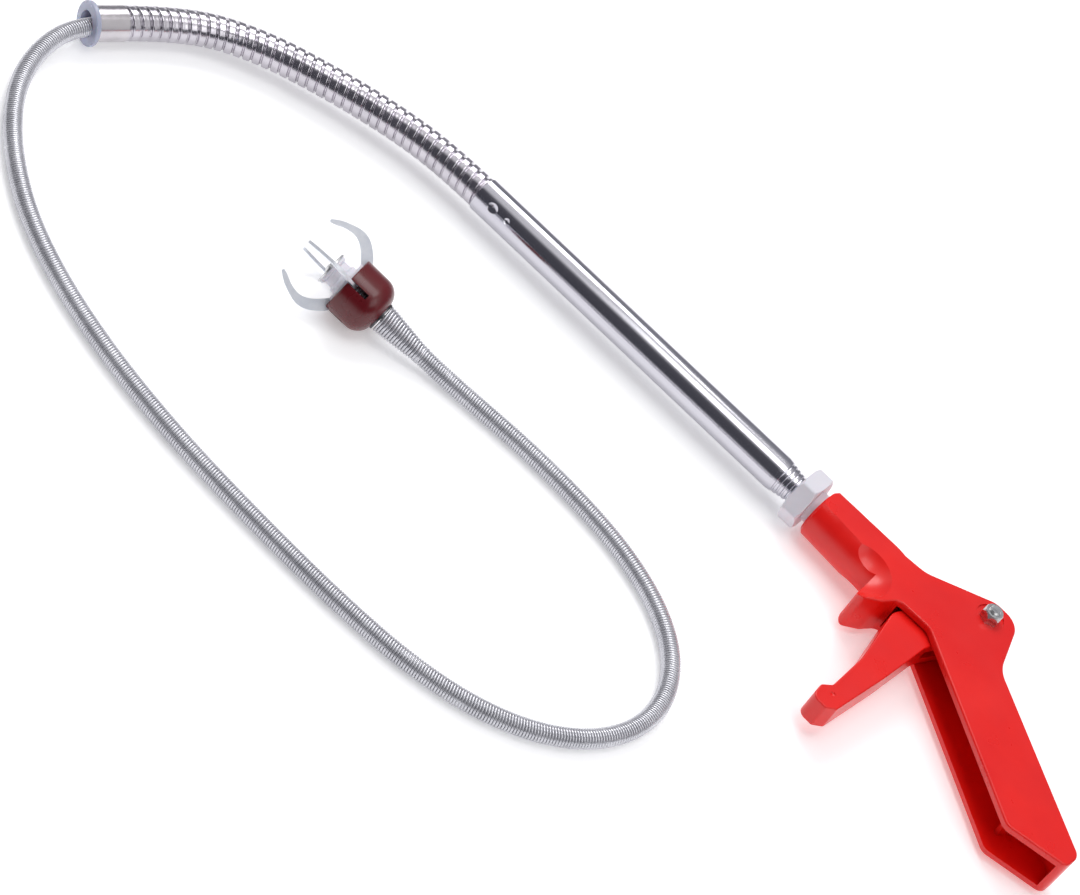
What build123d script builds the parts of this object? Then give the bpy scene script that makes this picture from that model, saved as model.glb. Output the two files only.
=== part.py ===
from build123d import *
import os
from math import asin, cos, pi, radians, sin, tan

os.makedirs("parts", exist_ok=True)

# A flexible claw reacher lying on its side. +X runs along the steel tube towards the pistol grip, the grip
# points to +X -Y, +Z is up. The origin is on the floor, under the middle of the object's box.

# ---- driving dimensions, mm ----
TUBE_X = -100.2  # hose end of the steel tube
AXIS_Y = 45.84  # the tube's axis
AXIS_Z = 13.0
TUBE_R = 8.0
TUBE_WALL = 1.2
TUBE_STRAIGHT = 171.0
TUBE_LENGTH = 182.0
TUBE_SMALL_R = 6.1
FERRULE_LENGTH = 24.0

NUT_R = 13.4  # over the corners of the white plastic nut
NUT_THICK = 8.2
NUT_ROUND = 1.6
NECK_R = 7.4
NECK_GAP = 3.3
NOSE_X = TUBE_X + TUBE_LENGTH + NUT_THICK + NECK_GAP  # front of the handle's barrel

HANDLE_T = 20.0
WALL = 3.0
BARREL_R = 11.4
BARREL_BACK_R = 12.2
BARREL_LENGTH = 60.0
BARREL_TILT = 2.2  # degrees the barrel leans from the tube's axis towards the finger stop
BUSHING_DEPTH = 36.0
PIVOT = (79.0, 13.5)  # trigger pivot, from the barrel's nose and the tube's axis
BOLT_R = 2.5
RUNNING = 0.06  # radial clearance of a pin in its hole

TRIGGER_T = 12.4
TRIGGER_TURN = 28.0  # degrees of squeeze
CABLE_R = 0.8
CORE_R = 1.0
NIPPLE_R = 2.4

HOSE_R = 7.4
HOSE_BORE = 4.2
SLEEVE_R = 7.7
SLEEVE_LENGTH = 14.0
RING_R = 9.5
RING_BORE = 5.6
RING_THICK = 2.4

SHAFT_R = 4.0
SHAFT_BORE = 2.4

RIM_X = -95.4  # middle of the claw cup's open end
HEAD_Y = -51.26
HEAD_Z = 14.54
HEAD_TURN = 11.75  # degrees the head points to -Y of -X
HEAD_RISE = 11.1  # degrees it points up
CUP_R = 12.5
CUP_LENGTH = 18.3
CUP_DEPTH = 14.5
SLOT_W = 2.2
SLOT_DEPTH = 9.5
CLAW_T = 1.2
CLAW_ROLLS = (40.0, 130.0, 220.0, 310.0)  # about the head's axis, from its +Y side towards its +Z side
CLAW_PIVOT = (-1.5, 7.5)  # ahead of the rim, and out from the head's axis
PIN_R = 0.8
ROD_R = 1.5
WASHER_T = 0.9
TAIL_LENGTH = 20.1
TAIL_R = 6.2
HEAD_TRAVEL = 2 * PIVOT[1] * tan(radians(TRIGGER_TURN / 2))

# ---- planes the pieces are drawn on ----
tube_plane = Plane(origin=(TUBE_X, AXIS_Y, AXIS_Z), x_dir=(1, 0, 0), z_dir=(0, 0, 1))
tube_side = Plane(origin=(TUBE_X, AXIS_Y, AXIS_Z), x_dir=(1, 0, 0), z_dir=(0, -1, 0))
nut_face = Plane(origin=(TUBE_X + TUBE_LENGTH, AXIS_Y, AXIS_Z), x_dir=(0, 1, 0), z_dir=(1, 0, 0))
nose_plane = Plane(origin=(NOSE_X, AXIS_Y, AXIS_Z), x_dir=(1, 0, 0), z_dir=(0, 0, 1))
tilt = radians(BARREL_TILT)
barrel_axis = Axis((NOSE_X, AXIS_Y, AXIS_Z), (cos(tilt), -sin(tilt), 0))
barrel_side = Plane(origin=(NOSE_X, AXIS_Y, AXIS_Z), x_dir=(cos(tilt), -sin(tilt), 0),
                    z_dir=(-sin(tilt), -cos(tilt), 0))
pivot_plane = Plane(origin=(NOSE_X + PIVOT[0], AXIS_Y + PIVOT[1], AXIS_Z), x_dir=(1, 0, 0), z_dir=(0, 0, 1))
turn, rise = radians(HEAD_TURN), radians(HEAD_RISE)
head_rim = Vector(RIM_X, HEAD_Y, HEAD_Z)
head_forward = Vector(-cos(turn) * cos(rise), -sin(turn) * cos(rise), sin(rise))
head_side = Vector(-sin(turn), cos(turn), 0)
head_top = Vector(cos(turn) * sin(rise), sin(turn) * sin(rise), cos(rise))
head_axis = Axis(head_rim, head_forward)
head_back = Plane(origin=head_rim, x_dir=head_side, z_dir=-head_forward)


def claw_plane(roll):
    """A plane through the head's axis: x runs forward from the cup's rim, y runs out from the axis."""
    outward = head_side * cos(radians(roll)) + head_top * sin(radians(roll))
    return Plane(origin=head_rim, x_dir=head_forward, z_dir=head_forward.cross(outward))


def behind_rim(distance):
    """A point on the head's axis, this far behind the cup's rim."""
    point = head_rim - head_forward * distance
    return (point.X, point.Y, point.Z)


def save(piece, name):
    """Labels one finished piece and writes it as its own node."""
    piece.label = name
    export_step(piece, f"parts/{name}.step")


def corner_radii(points):
    """The radius of each corner of a route: 0.45 of the shorter run over the tangent of half the turn."""
    radii = []
    for before, here, after in zip(points, points[1:], points[2:]):
        run_in = Vector(here) - Vector(before)
        run_out = Vector(after) - Vector(here)
        turn = run_in.get_angle(run_out)
        radii.append(0.45 * min(run_in.length, run_out.length) / tan(radians(turn / 2)))
    return radii


# ---- handle: one red moulding with a barrel, a trigger housing and an open-sided grip ----
# Each outline runs round the handle seen from its side face: a corner, then the radius that rounds it.
handle_outline = [
    ((30.0, 5.0), 1.5),
    ((48.5, 6.6), 14.0),
    ((76.6, 23.0), 9.0),
    ((88.8, 22.8), 9.0),
    ((97.4, -5.2), 14.0),
    ((168.3, -53.0), 5.0),
    ((167.4, -62.0), 4.0),
    ((140.6, -68.2), 5.0),
    ((66.0, -16.4), 7.0),
    ((50.0, -16.8), 5.0),
    ((45.6, -24.6), 5.0),
    ((36.4, -33.4), 2.6),
    ((35.4, -6.0), 1.5),
]
# The hollow stops at the spine's inner face and opens to the finger side.
hollow_outline = [
    ((50.5, -44.0), 0.5),
    ((50.5, 3.4), 2.0),
    ((56.0, 5.2), 3.0),
    ((76.6, 20.0), 5.0),
    ((86.0, 19.7), 4.0),
    ((94.4, -7.4), 14.0),
    ((164.4, -54.4), 3.0),
    ((164.0, -84.0), 0.5),
]
rib_line = ((139.3, -57.7), (149.6, -42.2))
RIB_T = 2.0
SCOOP_AT = (30.5, -19.5)
SCOOP_R = 14.0
SCOOP_DEPTH = 5.8
RECESS_R = 6.4
RECESS_DEPTH = 0.6
FACE_ROUND = 0.9
RIM_ROUND = 0.7
scoop_ball = (SCOOP_R**2 + SCOOP_DEPTH**2) / (2 * SCOOP_DEPTH)
scoop_lift = HANDLE_T / 2 + scoop_ball - SCOOP_DEPTH

with BuildPart(nose_plane) as handle_body:
    with BuildSketch(nose_plane.offset(-HANDLE_T / 2)):
        with BuildLine():
            corners = [point for point, _ in handle_outline]
            FilletPolyline(*corners, radius=[r for _, r in handle_outline], close=True)
        make_face()
    extrude(amount=HANDLE_T)
    fillet(faces().filter_by(Axis.Z).edges(), FACE_ROUND)
    with BuildSketch(barrel_side):
        with BuildLine():
            Polyline((0, 0), (0, BARREL_R - 1.2), (1.2, BARREL_R), (32, BARREL_BACK_R), (32, 0), close=True)
        make_face()
        with BuildLine():
            Line((32, 0), (32, BARREL_BACK_R))
            Spline((32, BARREL_BACK_R), (45, 10.6), (BARREL_LENGTH, 5), tangents=[(1, 0.02), (1, -0.5)])
            Polyline((BARREL_LENGTH, 5), (BARREL_LENGTH, 0), (32, 0))
        make_face()
    revolve(axis=barrel_axis)
    with BuildSketch(nose_plane.offset(-HANDLE_T / 2)):
        with Locations((80, -20)):
            Rectangle(220, 140)
    extrude(amount=HANDLE_T, mode=Mode.INTERSECT)
    with BuildSketch(nose_plane.offset(-HANDLE_T / 2 + WALL)):
        with BuildLine():
            corners = [point for point, _ in hollow_outline]
            FilletPolyline(*corners, radius=[r for _, r in hollow_outline], close=True)
        make_face()
    extrude(amount=HANDLE_T - 2 * WALL, mode=Mode.SUBTRACT)
    with BuildSketch(nose_plane.offset(-HANDLE_T / 2 + WALL - 0.5)):
        with BuildLine():
            Line(*rib_line)
        trace(line_width=RIB_T)
    extrude(amount=HANDLE_T - 2 * WALL + 1)
    # scooped flanks between the barrel and the finger stop, one on each side face
    with Locations((SCOOP_AT[0], SCOOP_AT[1], scoop_lift), (SCOOP_AT[0], SCOOP_AT[1], -scoop_lift)):
        Sphere(scoop_ball, mode=Mode.SUBTRACT)
    # bore for the tube's bushing, then the cable's way into the housing
    with Locations((BUSHING_DEPTH, 0, 0)):
        Cylinder(NECK_R, BUSHING_DEPTH + 2, rotation=(0, 90, 0), align=(Align.CENTER, Align.CENTER, Align.MAX),
                 mode=Mode.SUBTRACT)
    Cylinder(2.5, BARREL_LENGTH + 2, rotation=(0, 90, 0), align=(Align.CENTER, Align.CENTER, Align.MIN),
             mode=Mode.SUBTRACT)
    # pivot hole, with a shallow round seat for the nut and for the bolt's head
    with Locations((*PIVOT, 0)):
        Cylinder(BOLT_R, HANDLE_T + 2, mode=Mode.SUBTRACT)
    with Locations((*PIVOT, HANDLE_T / 2), (*PIVOT, -HANDLE_T / 2)):
        Cylinder(RECESS_R, 2 * RECESS_DEPTH, mode=Mode.SUBTRACT)
save(handle_body.part, "handle_body")

# ---- trigger: a curved lever, forked round the cable, with a hub on the bolt ----
HUB_R = 6.0
FORK_GAP = 4.4
trigger_outline = [
    ((72.9, 14.0), 2.0),
    ((58.0, -3.0), 16.0),
    ((51.3, -20.6), 8.0),
    ((56.6, -52.0), 40.0),
    ((56.9, -74.6), 3.0),
    ((53.6, -78.8), 2.5),
    ((54.4, -86.6), 3.6),
    ((61.4, -86.8), 1.6),
    ((65.0, -83.0), 1.6),
    ((68.3, -52.0), 60.0),
    ((70.4, -22.0), 20.0),
    ((84.9, 12.0), 2.0),
]
with BuildPart(nose_plane) as trigger:
    with BuildSketch(nose_plane.offset(-TRIGGER_T / 2)):
        with BuildLine():
            corners = [point for point, _ in trigger_outline]
            FilletPolyline(*corners, radius=[r for _, r in trigger_outline], close=True)
        make_face()
        with Locations(PIVOT):
            Circle(HUB_R)
    extrude(amount=TRIGGER_T)
    fillet(faces().filter_by(Axis.Z).edges(), 0.6)
    with BuildSketch(nose_plane.offset(-FORK_GAP / 2)):
        with Locations((78, 4)):
            Rectangle(60, 50)
    extrude(amount=FORK_GAP, mode=Mode.SUBTRACT)
    # the cable's nipple drops into a slot that points at the pivot through both cheeks
    slot_turn = radians(-90 - TRIGGER_TURN / 2)
    slot_at = (PIVOT[0] + 13.7 * cos(slot_turn), PIVOT[1] + 13.7 * sin(slot_turn))
    with BuildSketch(nose_plane.offset(-TRIGGER_T / 2)):
        with Locations(Location((*slot_at, 0), (0, 0, -90 - TRIGGER_TURN / 2))):
            SlotOverall(2 * NIPPLE_R + 4.4, 2 * NIPPLE_R + 0.4)
    extrude(amount=TRIGGER_T, mode=Mode.SUBTRACT)
    with Locations((*PIVOT, 0)):
        Cylinder(BOLT_R + RUNNING, TRIGGER_T + 2, mode=Mode.SUBTRACT)
    # a small sink mark near the tip on each side face
    with Locations((59.6, -78.6, TRIGGER_T / 2 + 0.8), (59.6, -78.6, -TRIGGER_T / 2 - 0.8)):
        Sphere(1.4, mode=Mode.SUBTRACT)
save(trigger.part, "trigger")

# ---- pivot hardware ----
SEAT_Z = HANDLE_T / 2 - RECESS_DEPTH
HEAD_H = 3.6
M5_NUT_H = 4.7
M5_FLATS = 8.0
with BuildPart(pivot_plane) as pivot_bolt:
    with Locations((0, 0, -SEAT_Z)):
        Cylinder(BOLT_R, 2 * SEAT_Z + M5_NUT_H + 1.0, align=(Align.CENTER, Align.CENTER, Align.MIN))
    chamfer(edges().group_by(Axis.Z)[-1], 0.6)
    with Locations((0, 0, -SEAT_Z)):
        Cylinder(4.5, HEAD_H, align=(Align.CENTER, Align.CENTER, Align.MAX))
    fillet(edges().group_by(Axis.Z)[0], 1.2)
    with BuildSketch(pivot_plane.offset(-SEAT_Z - HEAD_H)):
        RegularPolygon(1.5, 6, major_radius=False)
    extrude(amount=2.0, mode=Mode.SUBTRACT)
save(pivot_bolt.part, "pivot_bolt")

with BuildPart(pivot_plane) as pivot_nut:
    with BuildSketch(pivot_plane.offset(SEAT_Z)):
        RegularPolygon(M5_FLATS / 2, 6, major_radius=False, rotation=30)
        Circle(BOLT_R, mode=Mode.SUBTRACT)
    extrude(amount=M5_NUT_H)
    with Locations((0, 0, SEAT_Z)):
        Cone(M5_FLATS * 0.75, M5_FLATS * 0.47, M5_NUT_H, align=(Align.CENTER, Align.CENTER, Align.MIN),
             mode=Mode.INTERSECT)
save(pivot_nut.part, "pivot_nut")

# the return spring sits round the bolt between the trigger's cheeks, one leg against the housing's back
SPRING_WIRE = 1.1
SPRING_R = BOLT_R + 0.3 + SPRING_WIRE
with BuildPart() as trigger_spring:
    with BuildSketch(pivot_plane.offset(-1.8)):
        Circle(SPRING_R)
        Circle(BOLT_R, mode=Mode.SUBTRACT)
    extrude(amount=3.6)
    with BuildSketch(pivot_plane.offset(0.6)):
        with Locations((4.6, -SPRING_R + SPRING_WIRE / 2)):
            Rectangle(9.2, SPRING_WIRE)
    extrude(amount=SPRING_WIRE)
save(trigger_spring.part, "trigger_spring")

# ---- cable: a wire that slides in the tube, with a barrel nipple in the trigger's slot ----
NIPPLE_X = PIVOT[0] - PIVOT[1] * tan(radians(TRIGGER_TURN / 2))  # from the barrel's nose
PULL_START = 44.0  # where the sliding end begins inside the tube
with BuildPart() as cable_nipple:
    with BuildSketch(nose_plane.offset(-4.5)):
        with Locations((NIPPLE_X, 0)):
            Circle(NIPPLE_R)
    extrude(amount=9.0)
    chamfer(edges().filter_by(GeomType.CIRCLE), 0.4)
    with BuildSketch(Plane(origin=(NOSE_X, AXIS_Y, AXIS_Z), x_dir=(0, 1, 0), z_dir=(1, 0, 0))):
        Circle(CABLE_R)
    extrude(amount=NIPPLE_X, mode=Mode.SUBTRACT)
save(cable_nipple.part, "cable_nipple")

with BuildPart() as pull_wire:
    with BuildSketch(Plane(origin=(TUBE_X + PULL_START, AXIS_Y, AXIS_Z), x_dir=(0, 1, 0), z_dir=(1, 0, 0))):
        Circle(CABLE_R)
    extrude(amount=NOSE_X + NIPPLE_X - TUBE_X - PULL_START)
save(pull_wire.part, "pull_wire")

# ---- steel tube, its lock nut and bushing ----
THREAD_PITCH = 2.1
DIMPLE_TURN = 29.0  # degrees above the floor, on the finger side
with BuildPart(tube_plane) as steel_tube:
    with BuildSketch(tube_side):
        with BuildLine():
            Polyline((0, TUBE_R - TUBE_WALL), (0, TUBE_R - 0.5), (0.5, TUBE_R), (TUBE_STRAIGHT, TUBE_R),
                     (TUBE_LENGTH, TUBE_SMALL_R), (TUBE_LENGTH, TUBE_SMALL_R - TUBE_WALL),
                     (TUBE_STRAIGHT, TUBE_R - TUBE_WALL), close=True)
        make_face()
    revolve(axis=Axis(tube_plane.origin, (1, 0, 0)))
    # four rolled grooves round the taper
    for groove in range(4):
        along = 3.0 + groove * THREAD_PITCH
        groove_r = TUBE_R - (TUBE_R - TUBE_SMALL_R) * along / (TUBE_LENGTH - TUBE_STRAIGHT)
        with Locations((TUBE_STRAIGHT + along, 0, 0)):
            Torus(groove_r + 0.25, 0.6, rotation=(0, 90, 0), mode=Mode.SUBTRACT)
    # staked dimples that hold the hose's ferrule
    for along, ball, depth in ((9.6, 4.4, 0.85), (18.0, 2.0, 0.7)):
        for turn in (DIMPLE_TURN, DIMPLE_TURN + 120, DIMPLE_TURN - 120):
            out = TUBE_R - depth + ball
            with Locations((along, -out * cos(radians(turn)), out * sin(radians(turn)))):
                Sphere(ball, mode=Mode.SUBTRACT)
save(steel_tube.part, "steel_tube")

with BuildPart() as hose_ferrule:
    with BuildSketch(Plane(origin=(TUBE_X, AXIS_Y, AXIS_Z), x_dir=(0, 1, 0), z_dir=(1, 0, 0))):
        Circle(TUBE_R - TUBE_WALL)
        Circle(HOSE_BORE, mode=Mode.SUBTRACT)
    extrude(amount=FERRULE_LENGTH)
save(hose_ferrule.part, "hose_ferrule")

with BuildPart() as lock_nut:
    with BuildSketch(nut_face):
        RegularPolygon(NUT_R, 6)
        fillet(vertices(), NUT_ROUND)
        Circle(TUBE_SMALL_R - TUBE_WALL, mode=Mode.SUBTRACT)
    extrude(amount=NUT_THICK)
    with BuildSketch(tube_side):
        with BuildLine():
            Polyline((TUBE_LENGTH, 0), (TUBE_LENGTH, NUT_R - 1.6), (TUBE_LENGTH + 1.4, NUT_R + 0.6),
                     (TUBE_LENGTH + NUT_THICK - 1.4, NUT_R + 0.6), (TUBE_LENGTH + NUT_THICK, NUT_R - 1.6),
                     (TUBE_LENGTH + NUT_THICK, 0), close=True)
        make_face()
    revolve(axis=Axis(tube_plane.origin, (1, 0, 0)), mode=Mode.INTERSECT)
save(lock_nut.part, "lock_nut")

with BuildPart() as tube_bushing:
    with BuildSketch(nut_face.offset(NUT_THICK)):
        Circle(NECK_R)
        Circle(2.4, mode=Mode.SUBTRACT)
    extrude(amount=NECK_GAP + BUSHING_DEPTH)
save(tube_bushing.part, "tube_bushing")

# ---- gooseneck hose, from the tube to a steel sleeve with a flanged plastic ring ----
SLEEVE_HEADING = (-0.417, -0.909)
SLEEVE_START = (TUBE_X - 146.06, AXIS_Y - 73.4)
sleeve_plane = Plane(origin=(*SLEEVE_START, RING_R), z_dir=(*SLEEVE_HEADING, 0))
hose_points = [
    (TUBE_X, AXIS_Y, AXIS_Z),
    (TUBE_X - 22.0, AXIS_Y, AXIS_Z),
    (TUBE_X - 49.0, AXIS_Y - 4.4, 12.2),
    (TUBE_X - 78.0, AXIS_Y - 13.2, 11.4),
    (TUBE_X - 108.6, AXIS_Y - 25.8, 10.4),
    (TUBE_X - 133.4, AXIS_Y - 46.0, RING_R),
    (*SLEEVE_START, RING_R),
]
with BuildPart() as gooseneck_hose:
    with BuildLine() as hose_route:
        FilletPolyline(*hose_points, radius=corner_radii(hose_points))
    with BuildSketch(Plane(origin=hose_route.wire() @ 0, z_dir=hose_route.wire() % 0)):
        Circle(HOSE_R)
        Circle(HOSE_BORE, mode=Mode.SUBTRACT)
    sweep()
save(gooseneck_hose.part, "gooseneck_hose")

with BuildPart() as end_sleeve:
    with BuildSketch(sleeve_plane):
        Circle(SLEEVE_R)
        Circle(SLEEVE_R - 0.8, mode=Mode.SUBTRACT)
    extrude(amount=SLEEVE_LENGTH)
    chamfer(edges().filter_by(GeomType.CIRCLE).group_by(SortBy.RADIUS)[-1], 0.25)
save(end_sleeve.part, "end_sleeve")

with BuildPart() as end_ring:
    with BuildSketch(sleeve_plane.offset(SLEEVE_LENGTH)):
        Circle(RING_R)
    extrude(amount=RING_THICK)
    fillet(edges().filter_by(GeomType.CIRCLE), 0.7)
    with BuildSketch(sleeve_plane.offset(SLEEVE_LENGTH)):
        Circle(SLEEVE_R - 0.8)
    extrude(amount=-6)
    with BuildSketch(sleeve_plane.offset(SLEEVE_LENGTH - 6)):
        Circle(RING_BORE)
    extrude(amount=RING_THICK + 6, mode=Mode.SUBTRACT)
save(end_ring.part, "end_ring")

# the shaft's hidden end is held by a plug between the hose and the ring
PLUG_LENGTH = 4.0
with BuildPart() as shaft_plug:
    with BuildSketch(sleeve_plane):
        Circle(SLEEVE_R - 0.8)
        Circle(SHAFT_BORE, mode=Mode.SUBTRACT)
    extrude(amount=PLUG_LENGTH)
save(shaft_plug.part, "shaft_plug")

# ---- flexible shaft: a close-wound spring that lies on the floor between the hose and the head ----
shaft_start = sleeve_plane.from_local_coords((0, 0, PLUG_LENGTH))
shaft_points = [
    (shaft_start.X, shaft_start.Y, shaft_start.Z),
    (-253.6, -47.9, 9.4),
    (-253.5, -65.4, 7.6),
    (-247.0, -84.1, 5.0),
    (-233.7, -102.2, 4.0),
    (-213.2, -120.6, 4.0),
    (-186.5, -137.2, 4.0),
    (-153.5, -149.6, 4.0),
    (-117.0, -157.8, 4.0),
    (-77.0, -162.5, 4.0),
    (-35.5, -163.8, 4.0),
    (4.0, -163.6, 4.0),
    (40.0, -160.8, 4.0),
    (70.5, -152.6, 4.0),
    (94.8, -137.4, 4.0),
    (110.3, -115.4, 4.0),
    (113.5, -90.2, 4.0),
    (103.0, -66.2, 4.0),
    (82.0, -49.6, 4.0),
    (53.4, -40.1, 4.0),
    (23.0, -37.2, 4.0),
    (-3.0, -37.2, 4.0),
    (-26.0, -39.0, 4.0),
    behind_rim(CUP_LENGTH + WASHER_T + TAIL_LENGTH + 12.0),
    behind_rim(CUP_LENGTH + WASHER_T + TAIL_LENGTH),
]
with BuildPart() as shaft_spring:
    with BuildLine() as shaft_route:
        FilletPolyline(*shaft_points, radius=corner_radii(shaft_points))
    with BuildSketch(Plane(origin=shaft_route.wire() @ 0, z_dir=shaft_route.wire() % 0)):
        Circle(SHAFT_R)
        Circle(SHAFT_BORE, mode=Mode.SUBTRACT)
    sweep()
save(shaft_spring.part, "shaft_spring")

# the inner cable runs on through the hose and the shaft; it starts short of the sliding wire
CORE_END = 33.4  # behind the cup's rim
core_points = [
    (TUBE_X + 34.0, AXIS_Y, AXIS_Z),
    *hose_points[1:-1],
    *shaft_points[1:-1],
    behind_rim(CORE_END),
]
with BuildPart() as inner_cable:
    with BuildLine() as core_route:
        FilletPolyline(*core_points, radius=corner_radii(core_points))
    with BuildSketch(Plane(origin=core_route.wire() @ 0, z_dir=core_route.wire() % 0)):
        Circle(CORE_R)
    sweep()
save(inner_cable.part, "inner_cable")

for label, piece, route, section in (
    ("hose", gooseneck_hose, hose_route, pi * (HOSE_R**2 - HOSE_BORE**2)),
    ("shaft", shaft_spring, shaft_route, pi * (SHAFT_R**2 - SHAFT_BORE**2)),
    ("inner cable", inner_cable, core_route, pi * CORE_R**2),
):
    length = route.wire().length
    print(label, "length", round(length, 1), "volume ratio", round(piece.part.volume / (section * length), 4))
print("hose radii", [round(r) for r in corner_radii(hose_points)])
print("shaft radii", [round(r) for r in corner_radii(shaft_points)])

# ---- claw head: a dark cup with four slots, and a hub that slides in it and carries four claws ----
with BuildPart() as claw_cup:
    with BuildSketch(claw_plane(90)):
        with BuildLine():
            Polyline((0, 10.5), (0, CUP_R - 0.4), (-0.4, CUP_R), (-11.0, CUP_R))
            ThreePointArc((-11.0, CUP_R), (-16.0, 10.6), (-CUP_LENGTH, 6.6))
            Polyline((-CUP_LENGTH, 6.6), (-CUP_LENGTH, ROD_R + 0.05), (-CUP_DEPTH, ROD_R + 0.05),
                     (-CUP_DEPTH, 7.8), (-11.5, 10.5), (0, 10.5))
        make_face()
    revolve(axis=head_axis)
    for roll in CLAW_ROLLS:
        with BuildSketch(claw_plane(roll).offset(-SLOT_W / 2)):
            with BuildLine():
                Polyline((1, 9), (1, 14), (-SLOT_DEPTH, 14), (-SLOT_DEPTH, 9), close=True)
            make_face()
        extrude(amount=SLOT_W, mode=Mode.SUBTRACT)
save(claw_cup.part, "claw_cup")

FLANGE_R = 9.6
BARREL_HUB_R = 6.7
HUB_FRONT = 8.3
with BuildPart() as claw_hub:
    with BuildSketch(claw_plane(90)):
        with BuildLine():
            Polyline((-4.0, ROD_R), (-4.0, FLANGE_R), (1.0, FLANGE_R), (1.0, BARREL_HUB_R),
                     (2.6, BARREL_HUB_R), (3.4, BARREL_HUB_R - 1.0), (6.4, BARREL_HUB_R - 1.0), (7.2, BARREL_HUB_R),
                     (HUB_FRONT, BARREL_HUB_R), (HUB_FRONT, ROD_R), close=True)
        make_face()
    revolve(axis=head_axis)
    for roll in CLAW_ROLLS:
        with BuildSketch(claw_plane(roll).offset(-CLAW_T / 2 - 0.15)):
            with BuildLine():
                Polyline((-4.2, 4.9), (-4.2, 10.0), (1.2, 10.0), (1.2, 4.9), close=True)
            make_face()
        extrude(amount=CLAW_T + 0.3, mode=Mode.SUBTRACT)
        with BuildSketch(claw_plane(roll).offset(-3.6)):
            with Locations(CLAW_PIVOT):
                Circle(PIN_R)
        extrude(amount=7.2, mode=Mode.SUBTRACT)
save(claw_hub.part, "claw_hub")

with BuildPart() as hinge_pins:
    for roll in CLAW_ROLLS:
        with BuildSketch(claw_plane(roll).offset(-3.6)):
            with Locations(CLAW_PIVOT):
                Circle(PIN_R)
        extrude(amount=7.2)
save(hinge_pins.part, "hinge_pins")

with BuildPart() as hub_washer:
    with BuildSketch(claw_plane(90)):
        with BuildLine():
            Polyline((HUB_FRONT, ROD_R), (HUB_FRONT, 7.2), (HUB_FRONT + 0.7, 7.2), (HUB_FRONT + 0.9, 7.0),
                     (HUB_FRONT + 0.9, ROD_R), close=True)
        make_face()
    revolve(axis=head_axis)
save(hub_washer.part, "hub_washer")

# the plunger rod is riveted over the washer in front, and crimped to the cable behind the cup
ROD_BACK = 21.0
FERRULE_BACK = 26.0
RIVET_R = 2.6
RIVET_H = 1.2
rivet_ball = (RIVET_R**2 + RIVET_H**2) / (2 * RIVET_H)
rivet_face = HUB_FRONT + 0.9
rivet_mid = asin(RIVET_R / rivet_ball) / 2
with BuildPart() as plunger_rod:
    with BuildSketch(claw_plane(90)):
        with BuildLine():
            Polyline((-ROD_BACK, 0), (-ROD_BACK, ROD_R), (rivet_face, ROD_R), (rivet_face, RIVET_R))
            rivet_top = rivet_face + RIVET_H
            ThreePointArc((rivet_face, RIVET_R),
                          (rivet_top - rivet_ball * (1 - cos(rivet_mid)), rivet_ball * sin(rivet_mid)),
                          (rivet_top, 0))
            Line((rivet_top, 0), (-ROD_BACK, 0))
        make_face()
    revolve(axis=head_axis)
save(plunger_rod.part, "plunger_rod")

with BuildPart() as cable_ferrule:
    with BuildSketch(head_back.offset(ROD_BACK)):
        Circle(2.0)
    extrude(amount=FERRULE_BACK - ROD_BACK)
    chamfer(edges().filter_by(GeomType.CIRCLE), 0.3)
save(cable_ferrule.part, "cable_ferrule")

with BuildPart() as head_spring:
    with BuildSketch(head_back.offset(4.0)):
        Circle(7.0)
        Circle(6.1, mode=Mode.SUBTRACT)
    extrude(amount=CUP_DEPTH - 4.0)
save(head_spring.part, "head_spring")

with BuildPart() as tail_washer:
    with BuildSketch(head_back.offset(CUP_LENGTH)):
        Circle(6.3)
        Circle(2.6, mode=Mode.SUBTRACT)
    extrude(amount=WASHER_T)
save(tail_washer.part, "tail_washer")

with BuildPart() as tail_coil:
    with BuildSketch(claw_plane(90)):
        with BuildLine():
            tail_front = -CUP_LENGTH - WASHER_T
            Polyline((tail_front, 2.6), (tail_front, TAIL_R), (tail_front - 3.0, TAIL_R - 0.1),
                     (tail_front - TAIL_LENGTH, SHAFT_R), (tail_front - TAIL_LENGTH, 2.6), close=True)
        make_face()
    revolve(axis=head_axis)
save(tail_coil.part, "tail_coil")

# each claw is a crescent of sheet steel, pinned in the hub and bowed out of its slot in the cup
claw_outer = [(-2.6, 9.4), (-2.2, 12.6), (0.7, 15.8), (3.9, 18.2), (7.8, 19.5), (11.0, 19.3), (14.4, 18.3),
              (17.8, 16.9), (20.6, 15.1), (22.0, 14.0)]
claw_inner = [(21.6, 13.1), (19.2, 13.7), (15.9, 15.2), (13.2, 15.9), (10.2, 16.0), (7.6, 15.1), (5.0, 13.3),
              (2.6, 10.9), (0.3, 8.2)]
for number, roll in enumerate(CLAW_ROLLS, start=1):
    with BuildPart() as claw:
        with BuildSketch(claw_plane(roll).offset(-CLAW_T / 2)):
            with BuildLine():
                Spline(*claw_outer)
                Line(claw_outer[-1], claw_inner[0])
                Spline(*claw_inner)
                Line(claw_inner[-1], claw_outer[0])
            make_face()
            with Locations(CLAW_PIVOT):
                Circle(2.2)
                Circle(PIN_R + RUNNING, mode=Mode.SUBTRACT)
        extrude(amount=CLAW_T)
    save(claw.part, f"claw_{number}")
print("cable travel", round(HEAD_TRAVEL, 4))
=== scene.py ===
import math

import bpy
from mathutils import Matrix, Vector


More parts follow.
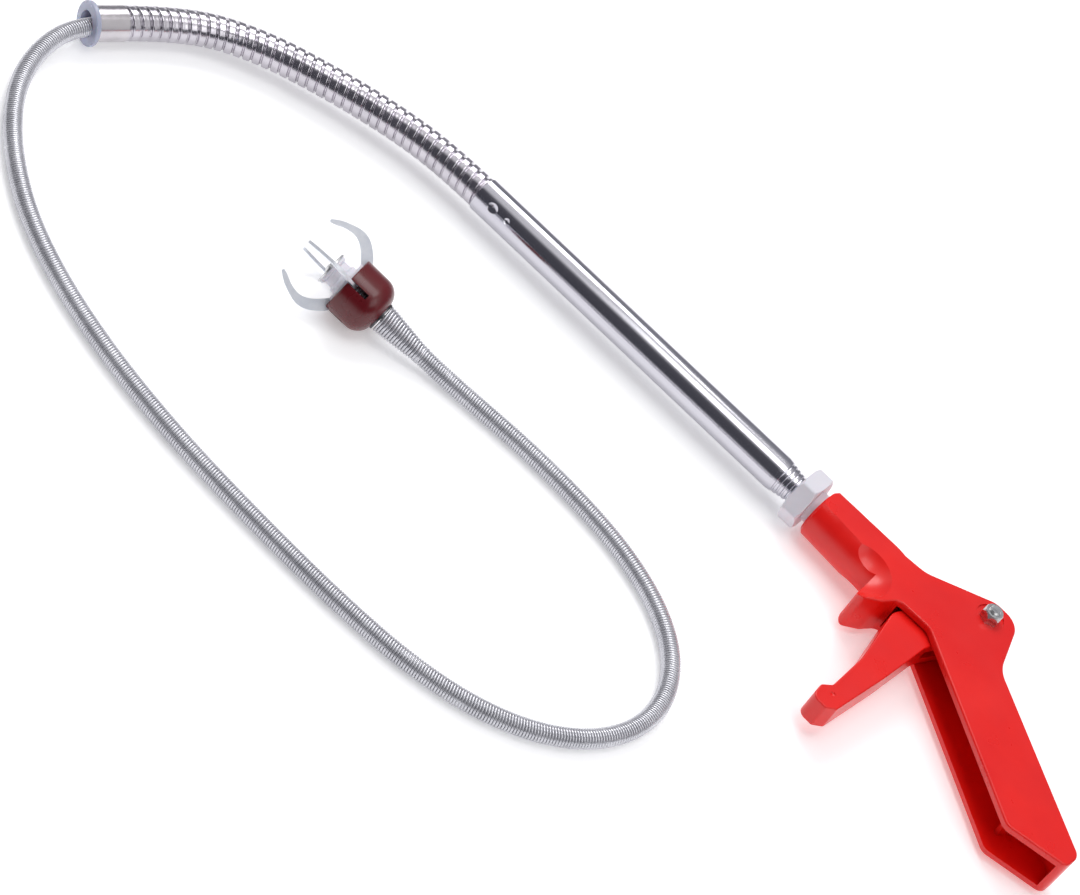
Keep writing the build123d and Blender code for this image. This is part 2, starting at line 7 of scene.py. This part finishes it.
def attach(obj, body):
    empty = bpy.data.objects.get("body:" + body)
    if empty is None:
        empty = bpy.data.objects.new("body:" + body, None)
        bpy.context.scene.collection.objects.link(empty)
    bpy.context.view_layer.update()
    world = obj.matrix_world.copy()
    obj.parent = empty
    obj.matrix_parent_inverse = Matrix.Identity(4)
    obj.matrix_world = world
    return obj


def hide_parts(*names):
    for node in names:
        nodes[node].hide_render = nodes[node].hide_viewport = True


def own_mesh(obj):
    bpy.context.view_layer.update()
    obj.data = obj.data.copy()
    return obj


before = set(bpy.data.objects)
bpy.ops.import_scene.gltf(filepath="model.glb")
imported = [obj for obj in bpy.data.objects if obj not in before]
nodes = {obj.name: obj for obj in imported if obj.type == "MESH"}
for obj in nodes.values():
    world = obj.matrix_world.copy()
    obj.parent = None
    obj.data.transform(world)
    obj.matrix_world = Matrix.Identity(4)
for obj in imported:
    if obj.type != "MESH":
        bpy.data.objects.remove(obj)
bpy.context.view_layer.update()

scene = bpy.context.scene
MM = 0.001


# ------------------------------------------------------------------ camera
CAMERA_AT = Vector((0.2332, -0.89056, 0.8267))
CAMERA_YAW = math.radians(-15.06)
CAMERA_DOWN = math.radians(42.75)
CAMERA_ROLL = math.radians(33.585)

cam_data = bpy.data.cameras.new("camera")
cam_data.lens = 102.3
cam_data.sensor_width = 36.0
cam_data.clip_start = 0.05
cam_data.clip_end = 20.0
camera = bpy.data.objects.new("camera", cam_data)
scene.collection.objects.link(camera)
scene.camera = camera
forward = Vector((math.sin(CAMERA_YAW) * math.cos(CAMERA_DOWN),
                  math.cos(CAMERA_YAW) * math.cos(CAMERA_DOWN), -math.sin(CAMERA_DOWN)))
level = Vector((math.cos(CAMERA_YAW), -math.sin(CAMERA_YAW), 0.0))
upright = level.cross(forward)
cam_x = level * math.cos(CAMERA_ROLL) + upright * math.sin(CAMERA_ROLL)
cam_y = upright * math.cos(CAMERA_ROLL) - level * math.sin(CAMERA_ROLL)
camera.matrix_world = Matrix((cam_x, cam_y, -forward)).transposed().to_4x4()
camera.location = CAMERA_AT


# ------------------------------------------------------------------ helpers
def nurbs_line(name, points):
    """A curve of one smooth NURBS spline on these control points, in millimetres."""
    curve = bpy.data.curves.new(name, "CURVE")
    curve.dimensions = "3D"
    curve.resolution_u = 24
    spline = curve.splines.new("NURBS")
    spline.points.add(len(points) - 1)
    for point, place in zip(spline.points, points):
        point.co = (*(v * MM for v in place), 1.0)
    spline.order_u = 3
    spline.use_endpoint_u = True
    obj = bpy.data.objects.new(name, curve)
    scene.collection.objects.link(obj)
    return obj


def line_points(curve_object):
    """The points along a curve that has no bevel."""
    mesh = bpy.data.meshes.new_from_object(curve_object)
    points = [v.co.copy() for v in mesh.vertices]
    bpy.data.meshes.remove(mesh)
    return points


class Route:
    """Even steps along a line of points, each with a frame that never twists."""

    def __init__(self, points):
        self.points = points
        self.along = [0.0]
        for a, b in zip(points, points[1:]):
            self.along.append(self.along[-1] + (b - a).length)
        self.length = self.along[-1]

    def frames(self, count):
        found = []
        index = 0
        for step in range(count + 1):
            s = self.length * step / count
            while index < len(self.points) - 2 and self.along[index + 1] < s:
                index += 1
            span = self.along[index + 1] - self.along[index]
            t = (s - self.along[index]) / span
            place = self.points[index].lerp(self.points[index + 1], t)
            found.append([s, place])
        normal = None
        result = []
        for step, (s, place) in enumerate(found):
            before = found[max(step - 1, 0)][1]
            after = found[min(step + 1, count)][1]
            heading = (after - before).normalized()
            if normal is None:
                normal = heading.orthogonal().normalized()
            normal = (normal - heading * normal.dot(heading)).normalized()
            result.append((s, place, heading, normal, heading.cross(normal)))
        return result


def mesh_object(name, verts, faces):
    """A smooth-shaded mesh, linked to the scene."""
    mesh = bpy.data.meshes.new(name)
    mesh.from_pydata([tuple(v) for v in verts], [], faces)
    mesh.validate()
    mesh.polygons.foreach_set("use_smooth", [True] * len(mesh.polygons))
    mesh.update()
    obj = bpy.data.objects.new(name, mesh)
    scene.collection.objects.link(obj)
    return obj


def coil(name, centre_line, turns, coil_radius, wire, per_turn, sides):
    """A round wire wound about a route. coil_radius is a function of the share of the length."""
    steps = int(turns * per_turn)
    ring = []
    for s, place, heading, normal, side in centre_line.frames(steps):
        share = s / centre_line.length
        angle = 2 * math.pi * (turns * share)
        out = normal * math.cos(angle) + side * math.sin(angle)
        ring.append((place + out * coil_radius(share), out))
    verts, faces = [], []
    for k, (place, out) in enumerate(ring):
        before = ring[max(k - 1, 0)][0]
        after = ring[min(k + 1, steps)][0]
        run = (after - before).normalized()
        across = run.cross(out).normalized()
        lift = across.cross(run)
        for j in range(sides):
            a = 2 * math.pi * j / sides
            verts.append(place + (lift * math.cos(a) + across * math.sin(a)) * wire)
    for k in range(steps):
        for j in range(sides):
            a, b = k * sides + j, k * sides + (j + 1) % sides
            faces.append((a, b, b + sides, a + sides))
    faces.append(tuple(range(sides))[::-1])
    faces.append(tuple(steps * sides + j for j in range(sides)))
    return mesh_object(name, verts, faces)


def wound_tube(name, centre_line, pitch, profile, per_pitch, around):
    """A closed tube whose outside repeats a profile along a helix: the radius at each share of one pitch."""
    steps = int(centre_line.length / pitch * per_pitch)
    verts, faces = [], []
    for s, place, heading, normal, side in centre_line.frames(steps):
        for j in range(around):
            a = 2 * math.pi * j / around
            phase = (s / pitch - j / around) % 1.0
            verts.append(place + (normal * math.cos(a) + side * math.sin(a)) * profile(phase))
    for k in range(steps):
        for j in range(around):
            a, b = k * around + j, k * around + (j + 1) % around
            faces.append((a, b, b + around, a + around))
    faces.append(tuple(range(around))[::-1])
    faces.append(tuple(steps * around + j for j in range(around)))
    return mesh_object(name, verts, faces)


# ------------------------------------------------------------------ materials
def new_material(name):
    mat = bpy.data.materials.new(name)
    mat.use_nodes = True
    tree = mat.node_tree
    return mat, tree, tree.nodes["Principled BSDF"]


def coordinates(tree, scale=(1.0, 1.0, 1.0)):
    """Object coordinates, stretched by scale."""
    place = tree.nodes.new("ShaderNodeTexCoord")
    mapping = tree.nodes.new("ShaderNodeMapping")
    mapping.inputs["Scale"].default_value = scale
    tree.links.new(place.outputs["Object"], mapping.inputs["Vector"])
    return mapping.outputs["Vector"]


def noise(tree, vector, scale, detail=3.0, rough=0.5):
    node = tree.nodes.new("ShaderNodeTexNoise")
    node.inputs["Scale"].default_value = scale
    node.inputs["Detail"].default_value = detail
    node.inputs["Roughness"].default_value = rough
    tree.links.new(vector, node.inputs["Vector"])
    return node.outputs["Fac"]


def ramp(tree, value, stops):
    node = tree.nodes.new("ShaderNodeValToRGB")
    while len(node.color_ramp.elements) < len(stops):
        node.color_ramp.elements.new(0.5)
    for element, (position, color) in zip(node.color_ramp.elements, stops):
        element.position = position
        element.color = (*color, 1.0)
    tree.links.new(value, node.inputs["Fac"])
    return node.outputs["Color"]


def spread(tree, value, low, high, start=0.3, end=0.7):
    node = tree.nodes.new("ShaderNodeMapRange")
    node.inputs["From Min"].default_value = start
    node.inputs["From Max"].default_value = end
    node.inputs["To Min"].default_value = low
    node.inputs["To Max"].default_value = high
    tree.links.new(value, node.inputs["Value"])
    return node.outputs["Result"]


def bump(tree, height, strength, distance, shader):
    node = tree.nodes.new("ShaderNodeBump")
    node.inputs["Strength"].default_value = strength
    node.inputs["Distance"].default_value = distance
    tree.links.new(height, node.inputs["Height"])
    tree.links.new(node.outputs["Normal"], shader.inputs["Normal"])


def moulded(name, dark, light, roughness, coat=0.0, subsurface=0.0, grain=900.0):
    """Moulded plastic: faint flow marks in the colour, an uneven gloss and a fine skin."""
    mat, tree, shader = new_material(name)
    vector = coordinates(tree)
    flow = noise(tree, vector, 26.0, 4.0, 0.55)
    tree.links.new(ramp(tree, flow, [(0.3, dark), (0.72, light)]), shader.inputs["Base Color"])
    tree.links.new(spread(tree, noise(tree, vector, 60.0, 5.0), *roughness), shader.inputs["Roughness"])
    bump(tree, noise(tree, vector, grain, 2.0), 0.06, 0.00004, shader)
    shader.inputs["Coat Weight"].default_value = coat
    shader.inputs["Coat Roughness"].default_value = 0.12
    shader.inputs["Subsurface Weight"].default_value = subsurface
    shader.inputs["Subsurface Radius"].default_value = (0.004, 0.0012, 0.0008)
    return mat


def metal(name, dark, light, roughness, stretch=(1.0, 1.0, 1.0), scale=300.0, depth=0.00003, strength=0.2):
    """Bare or plated steel: uneven tint, streaked roughness along one way, fine scratches."""
    mat, tree, shader = new_material(name)
    vector = coordinates(tree, stretch)
    tint = noise(tree, vector, scale * 0.25, 4.0, 0.6)
    tree.links.new(ramp(tree, tint, [(0.3, dark), (0.7, light)]), shader.inputs["Base Color"])
    streak = noise(tree, vector, scale, 5.0, 0.65)
    tree.links.new(spread(tree, streak, *roughness), shader.inputs["Roughness"])
    bump(tree, streak, strength, depth, shader)
    shader.inputs["Metallic"].default_value = 1.0
    return mat


red = moulded("red_plastic", (0.80, 0.006, 0.005), (0.93, 0.012, 0.006), (0.26, 0.36), coat=0.08)
maroon = moulded("maroon_plastic", (0.10, 0.001, 0.004), (0.15, 0.002, 0.006), (0.24, 0.32), coat=0.15)
white = moulded("white_nylon", (0.74, 0.72, 0.78), (0.82, 0.80, 0.86), (0.34, 0.48), subsurface=0.1)
milky = moulded("milky_plastic", (0.56, 0.58, 0.76), (0.66, 0.68, 0.84), (0.2, 0.3), subsurface=0.3)
milky.node_tree.nodes["Principled BSDF"].inputs["Transmission Weight"].default_value = 0.3
tube_steel = metal("tube_steel", (0.50, 0.49, 0.54), (0.62, 0.61, 0.66), (0.12, 0.19),
                   stretch=(0.04, 1.0, 1.0), scale=420.0)
sleeve_steel = metal("sleeve_steel", (0.50, 0.48, 0.50), (0.62, 0.59, 0.62), (0.16, 0.25))
band_steel = metal("band_steel", (0.50, 0.48, 0.52), (0.64, 0.61, 0.66), (0.14, 0.24))
spring_steel = metal("spring_steel", (0.58, 0.58, 0.62), (0.72, 0.72, 0.76), (0.20, 0.30))
spring_steel.node_tree.nodes["Principled BSDF"].inputs["Metallic"].default_value = 0.65
zinc = metal("zinc_plate", (0.58, 0.58, 0.58), (0.74, 0.74, 0.74), (0.24, 0.38), scale=500.0)
claw_steel = metal("claw_steel", (0.80, 0.84, 0.91), (0.92, 0.94, 0.98), (0.34, 0.5), scale=600.0)
claw_steel.node_tree.nodes["Principled BSDF"].inputs["Metallic"].default_value = 0.55
# painted shade: this near-black finish on the tail washer stands in for the dark, shaded gap between the cup
# and the flared coil
dark_steel = metal("dark_steel", (0.07, 0.07, 0.075), (0.13, 0.13, 0.14), (0.3, 0.45), scale=500.0)
cable_steel = metal("cable_steel", (0.40, 0.40, 0.40), (0.55, 0.55, 0.55), (0.3, 0.4))

finishes = {
    "handle_body": red, "trigger": red, "pivot_bolt": zinc, "pivot_nut": zinc, "trigger_spring": spring_steel,
    "cable_nipple": zinc, "pull_wire": cable_steel, "inner_cable": cable_steel, "steel_tube": tube_steel,
    "hose_ferrule": zinc, "lock_nut": white, "tube_bushing": white, "end_sleeve": sleeve_steel,
    "end_ring": milky, "shaft_plug": white, "claw_cup": maroon, "claw_hub": white, "hinge_pins": zinc,
    "hub_washer": zinc, "plunger_rod": zinc, "cable_ferrule": zinc, "tail_washer": dark_steel,
    "claw_1": claw_steel, "claw_2": claw_steel, "claw_3": claw_steel, "claw_4": claw_steel,
}
for node, material in finishes.items():
    data = nodes[node].data
    data.materials.clear()
    data.materials.append(material)

# ------------------------------------------------------------------ sizes of the wound pieces, mm
TUBE_X, AXIS_Y, AXIS_Z = -100.2, 45.84, 13.0  # hose end of the steel tube, and the tube's axis
RING_R = 9.5
SHAFT_R = 4.0
SHAFT_WIRE_R = 0.56
SHAFT_PITCH = 1.14
HOSE_PITCH = 4.4
GROOVE_R, CROWN_R = 6.35, 7.35  # the hose's radius in a groove and on a band
TAIL_FRONT, TAIL_BACK = 19.2, 39.3  # behind the cup's rim
TAIL_R = 6.2
TAIL_WIRE_R = 0.65
TAIL_PITCH = 1.34
TAIL_OVERLAP = 2.0  # the flared coil's last turns run over the shaft's end
SPRING_FRONT, SPRING_BACK = 4.45, 14.05
SPRING_R = 6.55
SPRING_WIRE_R = 0.42
SPRING_TURNS = 5

# ------------------------------------------------------------------ the head's axis
HEAD_TURN, HEAD_RISE = math.radians(11.75), math.radians(11.1)
head_rim = Vector((-95.4, -51.26, 14.54))
head_back = Vector((math.cos(HEAD_TURN) * math.cos(HEAD_RISE), math.sin(HEAD_TURN) * math.cos(HEAD_RISE),
                    -math.sin(HEAD_RISE)))


def behind_rim(distance):
    """A point on the head's axis this far behind the cup's rim, in millimetres."""
    return tuple(head_rim + head_back * distance)


# ------------------------------------------------------------------ the free spring shaft
shaft_points = [
    (-247.93, -31.2, RING_R),
    (-253.6, -47.9, 9.4),
    (-253.5, -65.4, 7.6),
    (-247.0, -84.1, 5.0),
    (-233.7, -102.2, 4.0),
    (-213.2, -120.6, 4.0),
    (-186.5, -137.2, 4.0),
    (-153.5, -149.6, 4.0),
    (-117.0, -157.8, 4.0),
    (-77.0, -162.5, 4.0),
    (-35.5, -163.8, 4.0),
    (4.0, -163.6, 4.0),
    (40.0, -160.8, 4.0),
    (70.5, -152.6, 4.0),
    (94.8, -137.4, 4.0),
    (110.3, -115.4, 4.0),
    (113.5, -90.2, 4.0),
    (103.0, -66.2, 4.0),
    (82.0, -49.6, 4.0),
    (53.4, -40.1, 4.0),
    (23.0, -37.2, 4.0),
    (-3.0, -37.2, 4.0),
    (-26.0, -39.0, 4.0),
    behind_rim(51.3),
    behind_rim(TAIL_BACK),
]
guide = nurbs_line("shaft_guide", shaft_points)
shaft_line = line_points(guide)
bpy.data.objects.remove(guide)
shaft_route = Route(shaft_line)
shaft = coil("spring_shaft", shaft_route, shaft_route.length / (SHAFT_PITCH * MM),
             lambda t: (SHAFT_R - SHAFT_WIRE_R) * MM, SHAFT_WIRE_R * MM, per_turn=12, sides=6)
shaft.data.materials.append(spring_steel)
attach(shaft, "tool")
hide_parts("shaft_spring")

# ------------------------------------------------------------------ gooseneck hose
hose_points = [
    (TUBE_X, AXIS_Y, AXIS_Z),
    (TUBE_X - 22.0, AXIS_Y, AXIS_Z),
    (TUBE_X - 49.0, AXIS_Y - 4.4, 12.2),
    (TUBE_X - 78.0, AXIS_Y - 13.2, 11.4),
    (TUBE_X - 108.6, AXIS_Y - 25.8, 10.4),
    (TUBE_X - 133.4, AXIS_Y - 46.0, RING_R),
    (TUBE_X - 146.06, AXIS_Y - 73.4, RING_R),
]
guide = nurbs_line("hose_guide", hose_points)
hose_line = line_points(guide)
bpy.data.objects.remove(guide)


def band(phase):
    """The hose's outside over one band: a flat crown with rounded shoulders and a narrow groove."""
    edge = min(phase, 1.0 - phase)
    if edge < 0.07:
        return GROOVE_R * MM
    if edge < 0.17:
        return (GROOVE_R + (CROWN_R - GROOVE_R) * math.sin((edge - 0.07) / 0.10 * math.pi / 2)) * MM
    return (CROWN_R + 0.05 * math.cos((edge - 0.17) * 3.0)) * MM


hose = wound_tube("gooseneck_bands", Route(hose_line), HOSE_PITCH * MM, band, 16, 56)
hose.data.materials.append(band_steel)
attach(hose, "tool")
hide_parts("gooseneck_hose")

# ------------------------------------------------------------------ flared coil behind the cup
tail_start = Vector(behind_rim(TAIL_FRONT + TAIL_WIRE_R)) * MM
tail_end = Vector(behind_rim(TAIL_BACK + TAIL_OVERLAP)) * MM
tail_length = (tail_end - tail_start).length


def tail_radius(share):
    """The flared coil's radius: nearly level behind the cup, then narrowing to the shaft's."""
    narrowing = 2.0 * max(0.0, min(share / 0.92, 1.0) - 0.12) / 0.88
    return (TAIL_R - TAIL_WIRE_R - 0.1 * min(share * 6, 1.0) - narrowing) * MM


tail = coil("flared_tail_coil", Route([tail_start, tail_start.lerp(tail_end, 0.5), tail_end]),
            tail_length / (TAIL_PITCH * MM), tail_radius, TAIL_WIRE_R * MM, per_turn=32, sides=8)
tail.data.materials.append(spring_steel)
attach(tail, "tool")
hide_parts("tail_coil")

# ------------------------------------------------------------------ the head's return spring
near, far = (Vector(behind_rim(d)) * MM for d in (SPRING_FRONT, SPRING_BACK))
head_spring = coil("head_return_spring", Route([near, near.lerp(far, 0.5), far]), SPRING_TURNS,
                   lambda t: SPRING_R * MM, SPRING_WIRE_R * MM, per_turn=40, sides=8)
head_spring.data.materials.append(spring_steel)
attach(head_spring, "tool")
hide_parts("head_spring")
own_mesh(head_spring)

# ------------------------------------------------------------------ floor, light
floor_mesh = bpy.data.meshes.new("floor")
floor_mesh.from_pydata([(-6, -6, 0), (6, -6, 0), (6, 6, 0), (-6, 6, 0)], [], [(0, 1, 2, 3)])
floor = bpy.data.objects.new("floor", floor_mesh)
scene.collection.objects.link(floor)
floor_mat, tree, shader = new_material("floor_paper")
vector = coordinates(tree)
tree.links.new(ramp(tree, noise(tree, vector, 3.0), [(0.3, (0.86, 0.86, 0.87)), (0.7, (0.90, 0.90, 0.91))]),
               shader.inputs["Base Color"])
shader.inputs["Roughness"].default_value = 0.9
shader.inputs["Emission Color"].default_value = (1.0, 1.0, 1.0, 1.0)
shader.inputs["Emission Strength"].default_value = 0.34
floor.data.materials.append(floor_mat)


def area_light(name, place, size, power):
    """A rectangular light that faces the origin."""
    light = bpy.data.lights.new(name, "AREA")
    light.shape = "RECTANGLE"
    light.size, light.size_y = size
    light.energy = power
    obj = bpy.data.objects.new(name, light)
    scene.collection.objects.link(obj)
    obj.location = place
    obj.rotation_mode = "QUATERNION"
    obj.rotation_quaternion = (-Vector(place)).to_track_quat("-Z", "Y")


area_light("key", (-0.9, 0.9, 1.5), (1.2, 0.8), 15.0)
area_light("fill", (1.1, -0.6, 1.2), (1.0, 1.0), 4.0)
area_light("top", (0.1, 0.0, 1.7), (0.8, 0.8), 6.0)

world = bpy.data.worlds.new("studio")
scene.world = world
world.use_nodes = True
tree = world.node_tree
background = tree.nodes["Background"]
place = tree.nodes.new("ShaderNodeTexCoord")
split = tree.nodes.new("ShaderNodeSeparateXYZ")
tree.links.new(place.outputs["Generated"], split.inputs["Vector"])
facing = tree.nodes.new("ShaderNodeMath")
facing.operation = "MULTIPLY"
facing.inputs[1].default_value = -1.0
tree.links.new(split.outputs["Y"], facing.inputs[0])
lift = tree.nodes.new("ShaderNodeMath")
lift.operation = "ARCTAN2"
tree.links.new(split.outputs["Z"], lift.inputs[0])
tree.links.new(facing.outputs["Value"], lift.inputs[1])
# the share of a half turn from the front horizon, over the top, to the back horizon
share = spread(tree, lift.outputs["Value"], 0.0, 1.0, 0.0, math.pi)
sky = ramp(tree, share, [(0.0, (0.55, 0.55, 0.57)), (0.05, (0.10, 0.10, 0.12)), (0.34, (0.12, 0.12, 0.14)),
                         (0.44, (0.95, 0.95, 0.97)), (0.62, (1.0, 1.0, 1.0)), (0.74, (0.42, 0.42, 0.46)),
                         (1.0, (0.36, 0.36, 0.40))])
tree.links.new(sky, background.inputs["Color"])
background.inputs["Strength"].default_value = 0.8
scene.view_settings.view_transform = "Standard"
